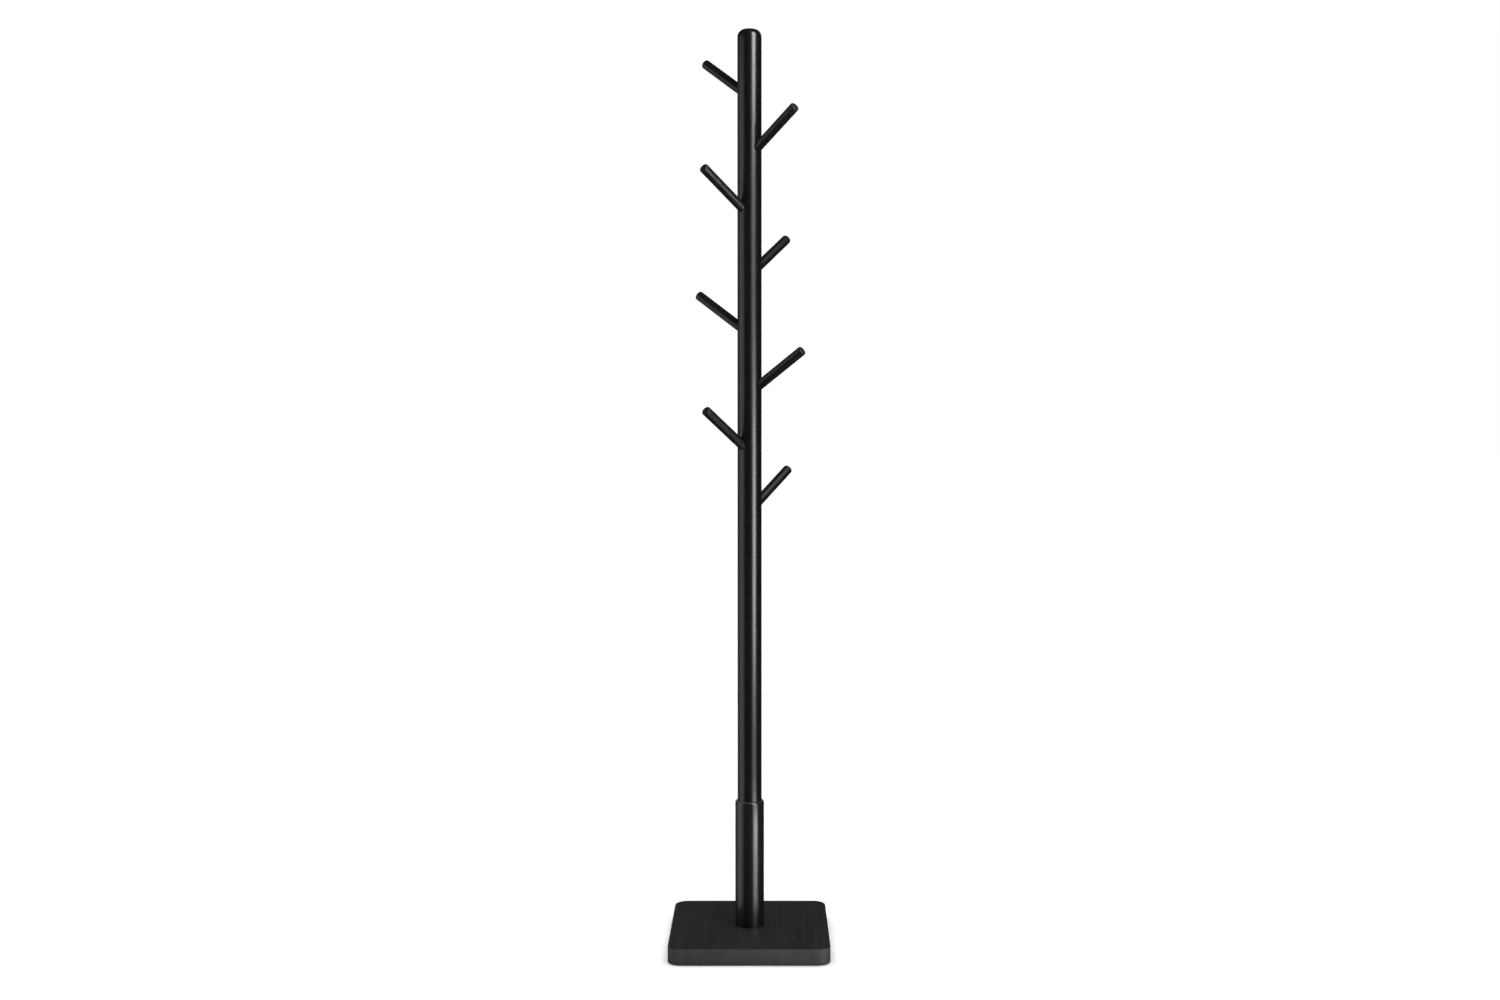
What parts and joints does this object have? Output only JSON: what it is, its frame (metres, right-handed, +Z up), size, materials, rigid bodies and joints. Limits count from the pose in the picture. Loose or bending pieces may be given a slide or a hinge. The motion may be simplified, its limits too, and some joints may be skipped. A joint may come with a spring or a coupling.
{
  "type": "standing coat rack",
  "caption": "Free-standing wooden coat rack: a slim round pole with upward-sloping round pegs, set in a thicker post on a square rounded base board, all in black.",
  "frame": {"origin": "on the floor under the middle of the base board, which is also under the pole's axis", "axes": "+Z up along the pole, +Y towards the back of the rack and +X to the right as seen from the front"},
  "size_m": [0.3, 0.3, 1.737],
  "materials": {
    "base_lacquer": "satin black lacquer over flat-sawn wood, fine grain showing",
    "pole_lacquer": "smooth semi-gloss black lacquer",
    "peg_stain": "satin black stain, open straight grain along the peg",
    "zinc_steel": "bright zinc-plated steel",
    "brass": "plain turned brass",
    "felt": "dense black wool felt"
  },
  "bodies": {
    "stand": {"base_board": "base_lacquer", "foot_pad_front_left": "felt", "foot_pad_front_right": "felt", "foot_pad_back_left": "felt", "foot_pad_back_right": "felt", "base_bolt": "zinc_steel", "base_washer": "zinc_steel", "post": "pole_lacquer", "post_foot_insert": "brass", "post_head_insert": "brass"},
    "lower_section": {"pole_lower": "pole_lacquer", "pole_lower_bolt": "zinc_steel", "pole_lower_insert": "brass"},
    "middle_section": {"pole_middle": "pole_lacquer", "pole_middle_bolt": "zinc_steel", "pole_middle_insert": "brass", "peg_5_insert": "brass", "peg_6_insert": "brass", "peg_7_insert": "brass", "peg_8_insert": "brass"},
    "upper_section": {"pole_upper": "pole_lacquer", "pole_upper_bolt": "zinc_steel", "peg_1_insert": "brass", "peg_2_insert": "brass", "peg_3_insert": "brass", "peg_4_insert": "brass"},
    "peg_1_body": {"peg_1": "peg_stain", "peg_1_bolt": "zinc_steel"},
    "peg_2_body": {"peg_2": "peg_stain", "peg_2_bolt": "zinc_steel"},
    "peg_3_body": {"peg_3": "peg_stain", "peg_3_bolt": "zinc_steel"},
    "peg_4_body": {"peg_4": "peg_stain", "peg_4_bolt": "zinc_steel"},
    "peg_5_body": {"peg_5": "peg_stain", "peg_5_bolt": "zinc_steel"},
    "peg_6_body": {"peg_6": "peg_stain", "peg_6_bolt": "zinc_steel"},
    "peg_7_body": {"peg_7": "peg_stain", "peg_7_bolt": "zinc_steel"},
    "peg_8_body": {"peg_8": "peg_stain", "peg_8_bolt": "zinc_steel"}
  },
  "joints": [
    {"name": "lower_section_lift", "type": "slide", "parent": "stand", "child": "lower_section", "axis": [0, 0, 1], "range_m": [0, 0.05]},
    {"name": "middle_section_lift", "type": "slide", "parent": "lower_section", "child": "middle_section", "axis": [0, 0, 1], "range_m": [0, 0.03]},
    {"name": "upper_section_lift", "type": "slide", "parent": "middle_section", "child": "upper_section", "axis": [0, 0, 1], "range_m": [0, 0.03]},
    {"name": "peg_1_unscrew", "type": "slide", "parent": "upper_section", "child": "peg_1_body", "axis": [-0.622, 0.5407, 0.5664], "range_m": [0, 0.03]},
    {"name": "peg_2_unscrew", "type": "slide", "parent": "upper_section", "child": "peg_2_body", "axis": [0.6124, -0.5514, 0.5664], "range_m": [0, 0.03]},
    {"name": "peg_3_unscrew", "type": "slide", "parent": "upper_section", "child": "peg_3_body", "axis": [-0.6124, -0.5514, 0.5664], "range_m": [0, 0.03]},
    {"name": "peg_4_unscrew", "type": "slide", "parent": "upper_section", "child": "peg_4_body", "axis": [0.5186, 0.6405, 0.5664], "range_m": [0, 0.03]},
    {"name": "peg_5_unscrew", "type": "slide", "parent": "middle_section", "child": "peg_5_body", "axis": [-0.7137, 0.4121, 0.5664], "range_m": [0, 0.03]},
    {"name": "peg_6_unscrew", "type": "slide", "parent": "middle_section", "child": "peg_6_body", "axis": [0.7137, -0.4121, 0.5664], "range_m": [0, 0.03]},
    {"name": "peg_7_unscrew", "type": "slide", "parent": "middle_section", "child": "peg_7_body", "axis": [-0.5827, -0.5827, 0.5664], "range_m": [0, 0.03]},
    {"name": "peg_8_unscrew", "type": "slide", "parent": "middle_section", "child": "peg_8_body", "axis": [0.5407, 0.622, 0.5664], "range_m": [0, 0.03]}
  ]
}
